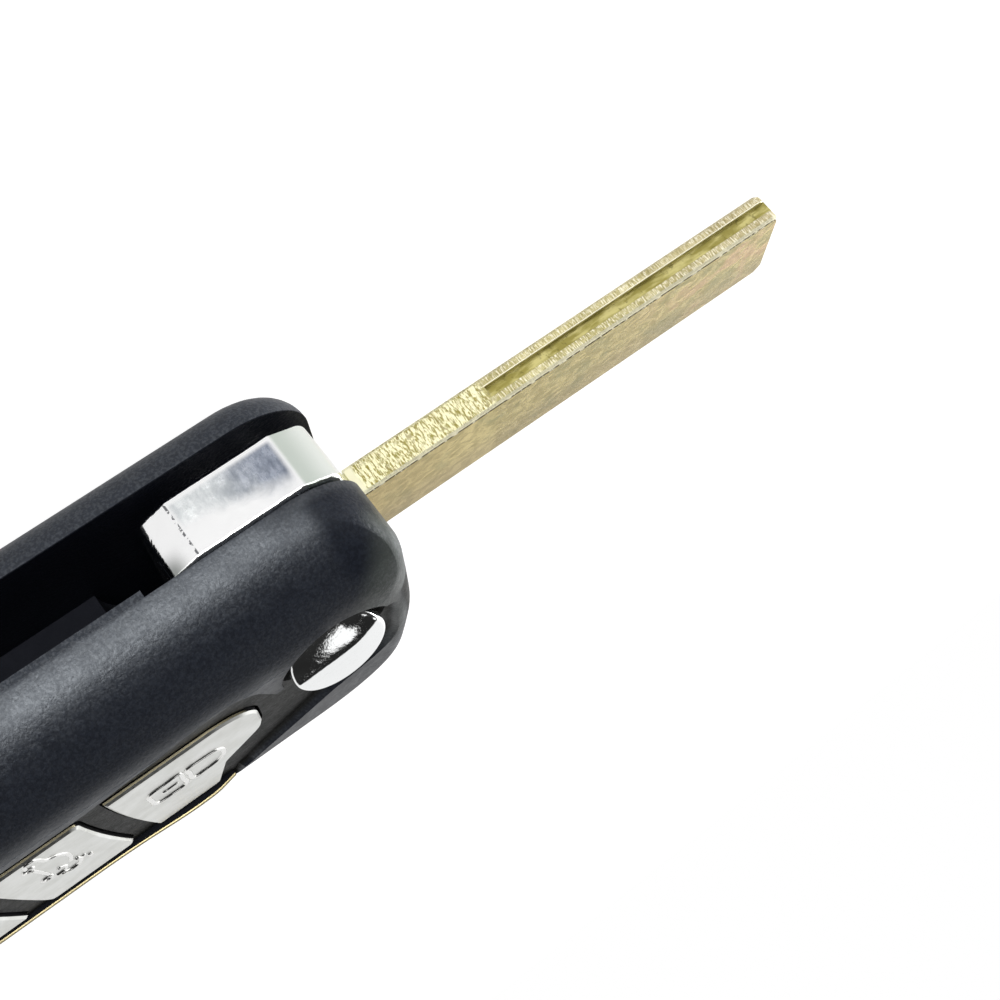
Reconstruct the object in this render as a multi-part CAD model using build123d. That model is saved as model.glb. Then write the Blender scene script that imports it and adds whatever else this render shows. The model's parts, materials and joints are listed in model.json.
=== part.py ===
from build123d import *
import os

# Flip key remote shell, lying on its back with the blade out.
# +X runs from the body to the blade's tip, +Y towards the side that the blade folds into,
# +Z from the back to the face with the buttons. While it is drawn, X and Y start at the
# flip axis and Z at the back face; every piece is moved to the final origin when it is saved.

# Body outline, seen from the front
BODY_NOSE = 8.75
BODY_TAIL = 67.0
SLOT_SIDE = 11.5
FAR_SIDE = 24.0
NOSE_SLOT_RADIUS = 6.5
NOSE_FAR_RADIUS = 10.2
TAIL_SLOT_RADIUS = 8.0
TAIL_FAR_RADIUS = 10.0
NOSE_CROWN = 1.0
TAIL_CROWN = 1.6
CROWN_RADIUS = 30.0

# Body section. The front face is crowned: its crest runs along the key near the slot side.
THICKNESS = 18.2
CREST_LINE = 6.0
CREST_RADIUS = 216.0
BACK_EDGE_RADIUS = 3.0
FRONT_EDGE_RADIUS = 3.5
SHOULDER_RADIUS = 8.0
SHOULDER_BITE = 0.02
WALL = 1.6
SLOT_FLOOR = 3.1

# Ceiling of the hollow, with a higher strip above the blade's bay
ROOF_DEPTH = 3.2
ROOF_WALL = 2.0
ROOF_START = 12.0
ROOF_END = 57.0
ROOF_FAR_LINE = 0.5
ROOF_NEAR_LINE = 6.0

# Running and assembly clearances
RUNNING = 0.05
SEAT_GAP = 0.02
SIDE_GAP = 0.4
FREE_GAP = 0.3
HOLE_GAP = 0.35

# Blade
BLADE_REACH = 45.6
BLADE_WIDTH = 9.0
BLADE_THICKNESS = 3.0
BLADE_OFFSET = 5.7
BLADE_LIFT = 0.35
TIP_EDGE = 0.3
BLADE_TANG = 4.6
BLADE_TIP_ROUND = 0.9
BLADE_TIP_CHAMFER = 1.0
GROOVE_WIDTH = 1.1
GROOVE_DEPTH = 0.45
GROOVE_START = 14.0
BLADE_SHOULDER = 0.7
TANG_RELIEF = 0.18
PIN_RADIUS = 1.0
PIN_BORE = 0.55
PIN_SPLIT = 0.3

# Hub that carries the blade
HUB_NOSE = 9.1
HUB_BACK = 7.7
HUB_FACE = 10.5
HUB_ROOM = 0.8
HUB_LIP = 1.0
HUB_BEVEL_LENGTH = 2.6
HUB_BEVEL_DROP = 1.2
HUB_CORNER_RADIUS = 1.2
HUB_HEEL_RADIUS = 7.0
HUB_FACET_X = 4.0
HUB_FACET_DROP = 1.7
HUB_NOSE_LEAN = 1.9
HUB_LEAN_START = 0.7
HUB_EDGE = 0.45
HUB_BOSS_RADIUS = 5.8
HUB_BOSS_TOP = 0.2
HUB_WELL_RADIUS = 4.6
HUB_WELL_FLOOR = 2.4
POCKET_GAP = 0.7

# Pivot, spring and release button
BUSH_RADIUS = 3.0
BUSH_FOOT = 1.2
BUSH_TOP = 6.3
WASHER_RADIUS = 5.6
WASHER_THICKNESS = 0.5
SHAFT_RADIUS = 1.8
SHAFT_FOOT = 4.2
RELEASE_RADIUS = 4.75
RELEASE_RISE = 1.35
RELEASE_CROWN = 24.0
RELEASE_TRAVEL = 1.5
RELEASE_ROUND = 0.25
FLANGE_RADIUS = 5.6
FLANGE_THICKNESS = 1.0
LUG_REACH = 0.8
LUG_WIDTH = 2.0
TOWER_WALL = 0.9
SPRING_WIRE = 0.8
SPRING_RADIUS = 3.3
SPRING_TURNS = 4
SPRING_LEG = 2.0

# Blade frame inside the shell. The hub's pocket is a little higher than the blade's bay.
FRAME_CEILING = 1.3
FRAME_WALL = 1.4
BAY_LINE = 0.6
BAY_END = 56.0
POCKET_STEP = 0.6
POCKET_LINE = 10.0
LEDGE_START = 34.0
LEDGE_SETBACK = 2.0
FLOOR_LEDGE = 1.0
CEILING_LEDGE = 0.8
STOP_NUB_RADIUS = 0.7
STOP_NUB_X = 12.0
STOP_NUB_Y = 9.3
RIB_THICKNESS = 1.0
RIB_PLACES = (20.0, 34.0, 48.0)

# Keypad. Its tilt in degrees follows the fall of the front face.
KEYPAD_TILT = 4
PANEL_DEPTH = 0.78
PANEL_DRAFT = 35
KEYPAD_SLOT_EDGE = 0.5
KEYPAD_FAR_EDGE = 19.9
KEY_SLANT = 1.6
KEY_BULGE = 0.3
KEY_GAP = 0.25
KEY_RISE = 0.45
KEY_FLANGE = 0.6
KEY_FLANGE_THICKNESS = 0.8
KEY_CHAMFER = 0.2
KEY_TRAVEL = 0.5
KEY_CORNER = 0.8
TIP_SHOULDER = 4.2
TIP_HEEL = 3.2
TIP_LEAN = 0.1
TIP_DEPTH = 0.8
NOTCH_X = 3.9
NOTCH_Y = 3.4
NOTCH_LEAN = 1.4
NOTCH_RADIUS = 1.2
BAR_WIDTH = 2.3
LOCK_LENGTH = 13.3
LOCK_START = 7.55
LIGHT_LENGTH = 8.4
DOME_RADIUS = 2.6
DOME_HEIGHT = 0.9
MEMBRANE_THICKNESS = 0.7
MEMBRANE_MARGIN = 4.0
TRAY_THICKNESS = 1.0
TRAY_RIM = 2.2
POST_RADIUS = 1.0
POST_NEAR = 1.5
POST_FAR = 17.4
POST_SHIFT = 0.8

# Recess round the keypad, the scoop beside the release button that joins it, and the strip
RECESS_MARGIN = 4.0
RECESS_TAIL_LINE = 2.0
RECESS_RADIUS = 5.0
RECESS_NECK = 22.0
RECESS_NOSE = 8.2
RECESS_NOSE_LINE = 4.4
RECESS_NOSE_RADIUS = 3.5
RECESS_TURN = 4.5
RECESS_TURN_LINE = 6.0
RECESS_CORNER = 1.0
SCOOP_ROOT = 7.0
SCOOP_ROOT_LINE = 2.0
SCOOP_NOSE = 5.4
SCOOP_NOSE_LINE = 1.8
SCOOP_FAR_LINE = 9.6
CREASE_START = 1.4
CREASE_START_LINE = 12.6
CREASE_END = 8.6
CREASE_END_LINE = 18.4
CREASE_RADIUS = 6.0
TRIM_WIDTH = 0.5
TRIM_HEIGHT = 0.9
TRIM_RISE = 0.5
TRIM_LINE = 21.5
TRIM_START = 11.5
TRIM_END = 46.0

# Battery seat and board fittings
BATTERY_RADIUS = 8.2
BATTERY_X = 38.0
BATTERY_Y = 12.4
BATTERY_RIB = 0.8
BATTERY_RIB_HEIGHT = 2.6
CLIP_THICKNESS = 0.3
CLIP_WIDTH = 4.0
REAR_FLOOR = 1.5
LIP_HEIGHT = 1.4
LIP_THICKNESS = 0.9

# Screws and key ring corner
SCREW_RADIUS = 0.95
SCREW_HEAD_RADIUS = 1.9
SCREW_HEAD_HEIGHT = 1.0
SCREW_SEAT = 1.2
SCREW_LENGTH = 9.0
BOSS_RADIUS = 2.5
NOSE_SCREW_X = 2.4
NOSE_SCREW_Y = 18.0
TAIL_SCREW_X = 61.4
TAIL_SCREW_Y = 5.2
RING_PIN_RADIUS = 1.25
RING_PIN_X = 62.4
RING_PIN_Y = 18.6
RING_DEPTH_X = 10.5
RING_DEPTH_Y = 15.5
RING_LOW = 5.0
RING_TOP_DEPTH = 5.8
RING_WALL = 1.4
RING_CORNER = 4.0
RING_PIN_FOOT = 1.4

# Heights and lines that follow from the sizes above
PANEL = THICKNESS - PANEL_DEPTH
CEILING = THICKNESS - ROOF_DEPTH
ROOF = THICKNESS - ROOF_WALL
KEY_FLANGE_TOP = CEILING - FREE_GAP
KEY_LOW = KEY_FLANGE_TOP - KEY_FLANGE_THICKNESS
DOME_TOP = KEY_LOW - FREE_GAP
MEMBRANE_TOP = DOME_TOP - DOME_HEIGHT
MEMBRANE_LOW = MEMBRANE_TOP - MEMBRANE_THICKNESS
TRAY_LOW = MEMBRANE_LOW - TRAY_THICKNESS
FRAME_TOP = TRAY_LOW - 2 * RUNNING
SLOT_TOP = FRAME_TOP - FRAME_CEILING
POCKET_TOP = SLOT_TOP + POCKET_STEP
BLADE_Z = (SLOT_FLOOR + POCKET_TOP) / 2 + BLADE_LIFT
HUB_THICKNESS = POCKET_TOP - SLOT_FLOOR - 2 * HUB_ROOM
HUB_LOW = BLADE_Z - HUB_THICKNESS / 2
HUB_HIGH = BLADE_Z + HUB_THICKNESS / 2
BLADE_SLOT_EDGE = BLADE_WIDTH / 2 - BLADE_OFFSET
BLADE_FAR_EDGE = BLADE_SLOT_EDGE - BLADE_WIDTH
BLADE_TIP = HUB_NOSE + BLADE_REACH
PIN_X = HUB_NOSE - BLADE_TANG / 2
HUB_HEEL = BLADE_FAR_EDGE - HUB_LIP
POCKET_RADIUS = (HUB_BACK ** 2 + (HUB_FACE - HUB_BEVEL_DROP) ** 2) ** 0.5 + POCKET_GAP
HOLE_RADIUS = RELEASE_RADIUS + HOLE_GAP
FLANGE_TOP = CEILING - FREE_GAP
FLANGE_LOW = FLANGE_TOP - FLANGE_THICKNESS
TOWER_BORE = FLANGE_RADIUS + 2 * RUNNING
TOWER_RADIUS = FLANGE_RADIUS + LUG_REACH + TOWER_WALL + RUNNING
RELEASE_TOP = THICKNESS + RELEASE_RISE
TRAY_NEAR = POST_NEAR + POST_RADIUS
RIB_LINE = TRAY_NEAR + SIDE_GAP
RECESS_RIM = -TRIM_LINE - TRIM_WIDTH / 2
KEY_MIDDLE_Y = -(KEYPAD_SLOT_EDGE + KEYPAD_FAR_EDGE) / 2
LOCK_END = LOCK_START + LOCK_LENGTH
LIGHT_START = LOCK_END + BAR_WIDTH
LIGHT_END = LIGHT_START + LIGHT_LENGTH
UNLOCK_START = LIGHT_END + BAR_WIDTH
UNLOCK_END = UNLOCK_START + LOCK_LENGTH
RING_INNER_X = BODY_TAIL - RING_DEPTH_X
RING_INNER_Y = FAR_SIDE - RING_DEPTH_Y
RING_HIGH = THICKNESS - RING_TOP_DEPTH
RING_PIN_TOP = RING_HIGH + RING_WALL
BOX_MIDDLE_X = (BLADE_TIP - BODY_TAIL) / 2
BOX_MIDDLE_Y = (SLOT_SIDE - FAR_SIDE) / 2
BODY_MIDDLE_Y = BOX_MIDDLE_Y
FAR_AWAY = 200.0


def disc(x, y, radius, low, high):
    """Upright cylinder between two heights."""
    return Pos(x, y, low) * extrude(Circle(radius), high - low)


def ring(x, y, inner, outer, low, high):
    """Upright tube between two heights."""
    return disc(x, y, outer, low, high) - disc(x, y, inner, low, high)


def block(x1, x2, y1, y2, z1, z2):
    """Box between two corners."""
    return Pos((x1 + x2) / 2, (y1 + y2) / 2, (z1 + z2) / 2) * Box(abs(x2 - x1), abs(y2 - y1), abs(z2 - z1))


def outline(corners):
    """Closed flat face from corners given as x, y and the radius that rounds them."""
    points = [(x, y) for x, y, _ in corners]
    radii = [radius for _, _, radius in corners]
    return make_face(FilletPolyline(points, radius=radii, close=True))


def plate(face, low, high):
    """Flat face raised between two heights."""
    return Pos(0, 0, low) * extrude(face, high - low)


def body_face(inset):
    """The body's outline from the front, moved inwards by inset."""
    nose = BODY_NOSE - inset
    tail = -BODY_TAIL + inset
    near = SLOT_SIDE - inset
    far = -FAR_SIDE + inset
    return outline([
        (tail + TAIL_CROWN, near, TAIL_SLOT_RADIUS - inset),
        (nose - NOSE_CROWN, near, NOSE_SLOT_RADIUS - inset),
        (nose, BODY_MIDDLE_Y, CROWN_RADIUS),
        (nose - NOSE_CROWN, far, NOSE_FAR_RADIUS - inset),
        (tail + TAIL_CROWN, far, TAIL_FAR_RADIUS - inset),
        (tail, BODY_MIDDLE_Y, CROWN_RADIUS),
    ])


def crest_form():
    """Everything under the crowned front face."""
    return Pos(0, CREST_LINE, THICKNESS - CREST_RADIUS) * Rot(0, 90, 0) * Cylinder(CREST_RADIUS, 2 * FAR_AWAY)


def shoulder_cut(inset):
    """What the large rounding takes off along the slot side, moved inwards by inset."""
    y = SLOT_SIDE - SHOULDER_RADIUS - SHOULDER_BITE
    drop = (CREST_LINE - y) ** 2 / (2 * CREST_RADIUS)
    z = THICKNESS - drop - SHOULDER_RADIUS - SHOULDER_BITE
    corner = Pos(y + SHOULDER_RADIUS, z + SHOULDER_RADIUS) * Rectangle(2 * SHOULDER_RADIUS, 2 * SHOULDER_RADIUS)
    face = corner - Pos(y, z) * Circle(SHOULDER_RADIUS - inset)
    return extrude(Plane.YZ * face, FAR_AWAY, both=True)


def outer_form():
    """The whole body's outer shape, with its crowned front and rounded edges."""
    form = plate(body_face(0), 0, 2 * THICKNESS) & crest_form()
    form = fillet(form.faces().sort_by(Axis.Z)[-1].edges(), FRONT_EDGE_RADIUS)
    form = fillet(form.faces().sort_by(Axis.Z)[0].edges(), BACK_EDGE_RADIUS)
    return form - shoulder_cut(0)


def inner_form():
    """The hollow of the front shell, one wall inside the outer shape."""
    form = plate(body_face(WALL), SLOT_FLOOR, CEILING)
    form = fillet(form.edges().group_by(Axis.Z)[-1], FRONT_EDGE_RADIUS - WALL)
    form -= shoulder_cut(WALL)
    return form + block(-ROOF_END, -ROOF_START, ROOF_FAR_LINE, ROOF_NEAR_LINE, CEILING - WALL, ROOF)


def pocket_face(margin):
    """Floor plan of the higher pocket that the hub turns in, grown by margin."""
    side = Pos(FAR_AWAY / 2 - POCKET_LINE - margin, 0) * Rectangle(FAR_AWAY, FAR_AWAY)
    return Circle(POCKET_RADIUS + margin) + (side & swing_face(margin))


def swing_face(margin):
    """Floor plan of the space that the blade and its hub need, grown by margin."""
    bay = Pos((BODY_NOSE - BAY_END) / 2, 0) * Rectangle(BODY_NOSE + BAY_END + 2 * margin, FAR_AWAY)
    near = Pos(0, FAR_AWAY / 2 - BAY_LINE - margin) * Rectangle(FAR_AWAY, FAR_AWAY)
    nose_width = SIDE_GAP - HUB_HEEL + margin
    mouth = Pos(FAR_AWAY / 2, FAR_AWAY / 2 - nose_width) * Rectangle(FAR_AWAY, FAR_AWAY)
    return Circle(POCKET_RADIUS + margin) + (bay & near) + mouth


def ring_corner_face(margin):
    """Plan of the open corner that the key ring passes through, grown by margin."""
    inner_x = -RING_INNER_X + margin
    inner_y = -RING_INNER_Y + margin
    return outline([
        (inner_x - FAR_AWAY, inner_y, 0),
        (inner_x, inner_y, RING_CORNER + margin),
        (inner_x, inner_y - FAR_AWAY, 0),
        (inner_x - FAR_AWAY, inner_y - FAR_AWAY, 0),
    ])


def screw_places():
    """Where the two shell screws stand."""
    return [(NOSE_SCREW_X, -NOSE_SCREW_Y), (-TAIL_SCREW_X, TAIL_SCREW_Y)]


def key_edge(x):
    """Slightly bowed line across the keypad, from the slot side to the far side."""
    start = (-x, -KEYPAD_SLOT_EDGE)
    end = (-x + KEY_SLANT, -KEYPAD_FAR_EDGE)
    middle = (-x + KEY_SLANT / 2 - KEY_BULGE, KEY_MIDDLE_Y)
    return ThreePointArc(start, middle, end)


def long_key_face(base, tip, way):
    """Plan of a long button: a bowed base, a rounded tip and a notch on the far side."""
    end = FilletPolyline([
        base @ 0,
        (tip, -KEYPAD_SLOT_EDGE),
        (tip + way * TIP_LEAN, KEY_MIDDLE_Y + TIP_DEPTH),
        (tip - way * NOTCH_X, KEY_MIDDLE_Y - NOTCH_Y),
        (tip - way * (NOTCH_X + NOTCH_LEAN), -KEYPAD_FAR_EDGE),
        base @ 1,
    ], radius=[TIP_SHOULDER, TIP_HEEL, NOTCH_RADIUS, KEY_CORNER])
    return make_face([base, end])


def lock_face():
    """Plan of the long button next to the release button."""
    return long_key_face(key_edge(LOCK_END), -LOCK_START, 1)


def light_face():
    """Plan of the middle button."""
    front = key_edge(LIGHT_START)
    back = key_edge(LIGHT_END)
    sides = [Line(front @ 0, back @ 0), Line(front @ 1, back @ 1)]
    face = make_face([front, back] + sides)
    return fillet(face.vertices(), KEY_CORNER)


def unlock_face():
    """Plan of the long button next to the key ring, like the first one turned over."""
    return long_key_face(key_edge(UNLOCK_START), -UNLOCK_END + KEY_SLANT, -1)


def key_faces():
    """Plans of the three buttons, nose to tail."""
    return [lock_face(), light_face(), unlock_face()]


def on_keypad(shape):
    """Shape drawn at height zero, placed on the sloping floor of the recess."""
    return Pos(0, 0, PANEL) * Rot(KEYPAD_TILT, 0, 0) * shape


def recess_face():
    """Plan of the shallow recess round the keypad."""
    tail = -UNLOCK_END - RECESS_MARGIN
    return outline([
        (tail, RECESS_TAIL_LINE, RECESS_RADIUS),
        (-RECESS_NECK, RECESS_TAIL_LINE, 2 * RECESS_RADIUS),
        (-RECESS_NOSE, RECESS_NOSE_LINE, RECESS_NOSE_RADIUS),
        (-RECESS_TURN, -RECESS_TURN_LINE, RECESS_CORNER),
        (-TRIM_START, RECESS_RIM, RECESS_CORNER),
        (-TRIM_END, RECESS_RIM, RECESS_RADIUS),
        (tail, RECESS_RIM + RECESS_RADIUS, RECESS_RADIUS),
    ])


def scoop_face():
    """Plan of the scoop on the release button's far side, which runs into the recess."""
    return outline([
        (-SCOOP_ROOT, -SCOOP_ROOT_LINE, RECESS_CORNER),
        (SCOOP_NOSE, SCOOP_NOSE_LINE, RECESS_CORNER),
        (SCOOP_NOSE, -SCOOP_FAR_LINE, RECESS_RADIUS),
        (-CREASE_START, -CREASE_START_LINE, CREASE_RADIUS),
        (-CREASE_END, -CREASE_END_LINE, CREASE_RADIUS),
        (-TRIM_START, RECESS_RIM, RECESS_CORNER),
        (-TRIM_START, KEY_MIDDLE_Y, RECESS_CORNER),
    ])


def recess_form():
    """The recess and the scoop as one shape with sloping sides."""
    form = extrude(recess_face(), 2 * PANEL_DEPTH, taper=-PANEL_DRAFT)
    form += extrude(scoop_face(), 2 * PANEL_DEPTH, taper=-PANEL_DRAFT)
    return on_keypad(form)


def front_shell(outer, inner):
    """Front half of the casing: keypad wall, release button tower, bosses and ring corner."""
    shell = (outer & block(-FAR_AWAY, FAR_AWAY, -FAR_AWAY, FAR_AWAY, SLOT_FLOOR, THICKNESS)) - inner
    shell += inner & plate(ring_corner_face(RING_WALL), SLOT_FLOOR, RING_HIGH + RING_WALL)
    for x, y in screw_places():
        shell += disc(x, y, BOSS_RADIUS, SLOT_FLOOR, CEILING)
    shell += disc(0, 0, TOWER_RADIUS, FRAME_TOP, CEILING)
    for x in RIB_PLACES:
        rib = block(-x - RIB_THICKNESS / 2, -x + RIB_THICKNESS / 2, RIB_LINE, SLOT_SIDE, FRAME_TOP, ROOF)
        shell += rib & inner
    for x, y in post_places():
        shell += disc(x, y, POST_RADIUS, MEMBRANE_LOW, ROOF) & inner
    shell -= plate(swing_face(0), SLOT_FLOOR, SLOT_TOP)
    shell -= plate(pocket_face(0), SLOT_TOP, POCKET_TOP)
    shell -= plate(ring_corner_face(0), RING_LOW, RING_HIGH)
    shell -= disc(-RING_PIN_X, -RING_PIN_Y, RING_PIN_RADIUS + SEAT_GAP, SLOT_FLOOR, RING_PIN_TOP)
    shell -= disc(0, 0, TOWER_BORE, FRAME_TOP, CEILING)
    shell -= disc(0, 0, HOLE_RADIUS, CEILING, THICKNESS)
    reach = FLANGE_RADIUS + LUG_REACH + RUNNING
    groove = LUG_WIDTH / 2 + RUNNING
    shell -= block(-reach, reach, -groove, groove, FRAME_TOP, CEILING)
    shell -= block(-groove, groove, 0, -reach, FRAME_TOP, CEILING)
    for x, y in screw_places():
        shell -= disc(x, y, SCREW_RADIUS + SEAT_GAP, SLOT_FLOOR, SCREW_SEAT + SCREW_LENGTH)
    shell -= recess_form()
    for face in key_faces():
        shell -= plate(offset(face, KEY_GAP), KEY_LOW - KEY_TRAVEL - FREE_GAP, THICKNESS)
    shell -= trim_form(SEAT_GAP)
    return shell


def trim_form(gap):
    """Square strip along the recess's far rim, let into its floor."""
    half = TRIM_WIDTH / 2 + gap
    low = TRIM_RISE - TRIM_HEIGHT - gap
    return on_keypad(block(-TRIM_END - gap, -TRIM_START + gap, -TRIM_LINE - half, -TRIM_LINE + half, low, TRIM_RISE))


def trim_strip():
    """Thin brass-coloured strip along the recess's far rim."""
    strip = trim_form(0)
    return fillet(strip.edges().filter_by(Axis.X).sort_by(Axis.Z)[-2:], TRIM_WIDTH / 5)


def rear_shell(outer):
    """Back half of the casing: slot floor, locating lip, battery seat and screw seats."""
    shell = outer & block(-FAR_AWAY, FAR_AWAY, -FAR_AWAY, FAR_AWAY, 0, SLOT_FLOOR)
    hollow = body_face(WALL + LIP_THICKNESS) - swing_face(FRAME_WALL) - ring_corner_face(RING_WALL)
    for x, y in screw_places():
        hollow -= Pos(x, y) * Circle(BOSS_RADIUS)
    shell -= plate(hollow, REAR_FLOOR, SLOT_FLOOR)
    lip = body_face(WALL + SEAT_GAP * 5) - body_face(WALL + LIP_THICKNESS)
    lip = lip - swing_face(FRAME_WALL + SIDE_GAP) - ring_corner_face(RING_WALL + SIDE_GAP)
    for x, y in screw_places():
        lip -= Pos(x, y) * Circle(BOSS_RADIUS + SIDE_GAP)
    shell += plate(lip, SLOT_FLOOR, SLOT_FLOOR + LIP_HEIGHT)
    shell += battery_seat()
    shell += floor_ledge()
    shell -= disc(0, 0, BUSH_RADIUS + SEAT_GAP, BUSH_FOOT, SLOT_FLOOR)
    shell -= disc(-RING_PIN_X, -RING_PIN_Y, RING_PIN_RADIUS + SEAT_GAP, RING_PIN_FOOT, SLOT_FLOOR)
    for x, y in screw_places():
        shell -= disc(x, y, SCREW_RADIUS + 2 * RUNNING, 0, SLOT_FLOOR)
        shell -= disc(x, y, SCREW_HEAD_RADIUS + 2 * RUNNING, 0, SCREW_SEAT)
    return shell


def battery_seat():
    """Ring of four ribs that centres the coin cell."""
    high = REAR_FLOOR + BATTERY_RIB_HEIGHT
    seat = ring(-BATTERY_X, -BATTERY_Y, BATTERY_RADIUS, BATTERY_RADIUS + BATTERY_RIB, REAR_FLOOR, high)
    gap = CLIP_WIDTH / 2 + SIDE_GAP
    reach = BATTERY_RADIUS + 2 * BATTERY_RIB
    seat -= block(-BATTERY_X - reach, -BATTERY_X + reach, -BATTERY_Y - gap, -BATTERY_Y + gap, 0, high)
    seat -= block(-BATTERY_X - gap, -BATTERY_X + gap, -BATTERY_Y - reach, -BATTERY_Y + reach, 0, high)
    return seat


def floor_ledge():
    """Raised track on the slot's floor, set back from the rim, that the folded blade lies over."""
    face = outline([
        (-BAY_END + SIDE_GAP, -BAY_LINE + SIDE_GAP, 1.0),
        (-LEDGE_START, -BAY_LINE + SIDE_GAP, 1.0),
        (-LEDGE_START, SLOT_SIDE - LEDGE_SETBACK, 1.0),
        (-BAY_END + SIDE_GAP, SLOT_SIDE - LEDGE_SETBACK, 1.0),
    ])
    return plate(face, SLOT_FLOOR, SLOT_FLOOR + FLOOR_LEDGE)


def blade_frame(inner):
    """Inner frame: the slot's ceiling and the wall between the blade and the electronics."""
    reach = inner & plate(body_face(WALL + SEAT_GAP), SLOT_FLOOR, FRAME_TOP)
    frame = reach & plate(swing_face(FRAME_WALL), SLOT_FLOOR, FRAME_TOP)
    frame -= plate(swing_face(0), SLOT_FLOOR, SLOT_TOP)
    frame -= plate(pocket_face(0), SLOT_TOP, POCKET_TOP)
    mouth = block(0, FAR_AWAY, -FAR_AWAY, FAR_AWAY, SLOT_FLOOR, SLOT_TOP)
    frame -= mouth & plate(swing_face(SIDE_GAP), SLOT_FLOOR, SLOT_TOP)
    frame -= disc(0, 0, TOWER_BORE, SLOT_TOP, FRAME_TOP)
    for x, y in screw_places():
        frame -= disc(x, y, BOSS_RADIUS + SEAT_GAP, SLOT_FLOOR, FRAME_TOP)
    track = block(-BAY_END, -LEDGE_START, -BAY_LINE, SLOT_SIDE - LEDGE_SETBACK, SLOT_TOP - CEILING_LEDGE, SLOT_TOP)
    track = fillet(track.edges().filter_by(Axis.Z), 1.0)
    nub = Pos(-STOP_NUB_X, STOP_NUB_Y - WALL, SLOT_TOP) * Sphere(STOP_NUB_RADIUS)
    return frame + track + nub


def hub_face():
    """Plan of the hub: bevelled back corner, leaning nose and large heel radius."""
    nose = HUB_NOSE - FREE_GAP
    return outline([
        (-HUB_BACK, HUB_HEEL, HUB_HEEL_RADIUS),
        (nose, HUB_HEEL, 1.0),
        (nose, -HUB_LEAN_START, 2.0),
        (nose - HUB_NOSE_LEAN, HUB_FACE - HUB_FACET_DROP, 1.6),
        (HUB_FACET_X, HUB_FACE, 1.0),
        (-HUB_BACK + HUB_BEVEL_LENGTH, HUB_FACE, HUB_EDGE * 2),
        (-HUB_BACK, HUB_FACE - HUB_BEVEL_DROP, HUB_CORNER_RADIUS),
    ])


def blade_hub():
    """Plated metal hub that the blade is pinned into."""
    hub = plate(hub_face(), HUB_LOW, HUB_HIGH)
    hub = fillet(hub.edges().group_by(Axis.Z)[0] + hub.edges().group_by(Axis.Z)[-1], HUB_EDGE)
    boss_low = SLOT_FLOOR + WASHER_THICKNESS + FREE_GAP
    hub += disc(0, 0, HUB_BOSS_RADIUS, boss_low, HUB_LOW)
    hub += disc(0, 0, HUB_BOSS_RADIUS, HUB_HIGH, HUB_HIGH + HUB_BOSS_TOP)
    hub -= disc(0, 0, BUSH_RADIUS + RUNNING, boss_low, HUB_HIGH)
    well_floor = HUB_LOW + HUB_WELL_FLOOR
    hub -= disc(0, 0, HUB_WELL_RADIUS, well_floor, HUB_HIGH + HUB_BOSS_TOP)
    leg = SPRING_WIRE / 2 + FREE_GAP
    reach = SPRING_RADIUS + SPRING_LEG + FREE_GAP
    hub -= block(0, reach, -leg, leg, well_floor, HUB_HIGH + HUB_BOSS_TOP)
    hub -= tang_form(SEAT_GAP)
    hub -= roll_pin_form(PIN_RADIUS + SEAT_GAP)
    return hub


def tang_form(gap):
    """Root of the blade inside the hub."""
    near = BLADE_SLOT_EDGE - BLADE_SHOULDER + gap
    far = BLADE_FAR_EDGE + BLADE_SHOULDER - gap
    half = BLADE_THICKNESS / 2 - TANG_RELIEF + gap
    return block(HUB_NOSE - BLADE_TANG - gap, HUB_NOSE, far, near, BLADE_Z - half, BLADE_Z + half)


def roll_pin_form(radius):
    """Round bar through the hub and the blade's tang."""
    return disc(PIN_X, -BLADE_OFFSET, radius, HUB_LOW, HUB_HIGH)


def key_blade():
    """Uncut brass blade with a groove in each narrow edge."""
    near = BLADE_SLOT_EDGE
    far = BLADE_FAR_EDGE
    low = BLADE_Z - BLADE_THICKNESS / 2
    face = outline([
        (HUB_NOSE, far, 0),
        (BLADE_TIP - BLADE_TIP_CHAMFER, far, 0),
        (BLADE_TIP, far + BLADE_TIP_CHAMFER, 0),
        (BLADE_TIP, near, BLADE_TIP_ROUND),
        (HUB_NOSE, near, 0),
    ])
    blade = plate(face, low, low + BLADE_THICKNESS)
    blade = chamfer(blade.faces().sort_by(Axis.X)[-1].edges().filter_by(Axis.Y), TIP_EDGE)
    start = HUB_NOSE + GROOVE_START
    half = GROOVE_WIDTH / 2
    for edge, inner in ((near, near - GROOVE_DEPTH), (far, far + GROOVE_DEPTH)):
        blade -= block(start, BLADE_TIP + 1, edge, inner, BLADE_Z - half, BLADE_Z + half)
    return blade + tang_form(0) - roll_pin_form(PIN_RADIUS + SEAT_GAP)


def blade_roll_pin():
    """Rolled steel pin, split along one side."""
    pin = roll_pin_form(PIN_RADIUS) - roll_pin_form(PIN_BORE)
    half = PIN_SPLIT / 2
    return pin - block(PIN_X, PIN_X + 2 * PIN_RADIUS, -BLADE_OFFSET - half, -BLADE_OFFSET + half, HUB_LOW, HUB_HIGH)


def pivot_bush():
    """Steel bush that the hub turns on, pressed into the rear shell."""
    bush = ring(0, 0, SHAFT_RADIUS + RUNNING, BUSH_RADIUS, BUSH_FOOT, BUSH_TOP)
    return chamfer(bush.edges().group_by(Axis.Z)[-1], 0.2)


def thrust_washer():
    """Thin washer under the hub."""
    return ring(0, 0, BUSH_RADIUS + RUNNING, WASHER_RADIUS, SLOT_FLOOR, SLOT_FLOOR + WASHER_THICKNESS)


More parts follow.
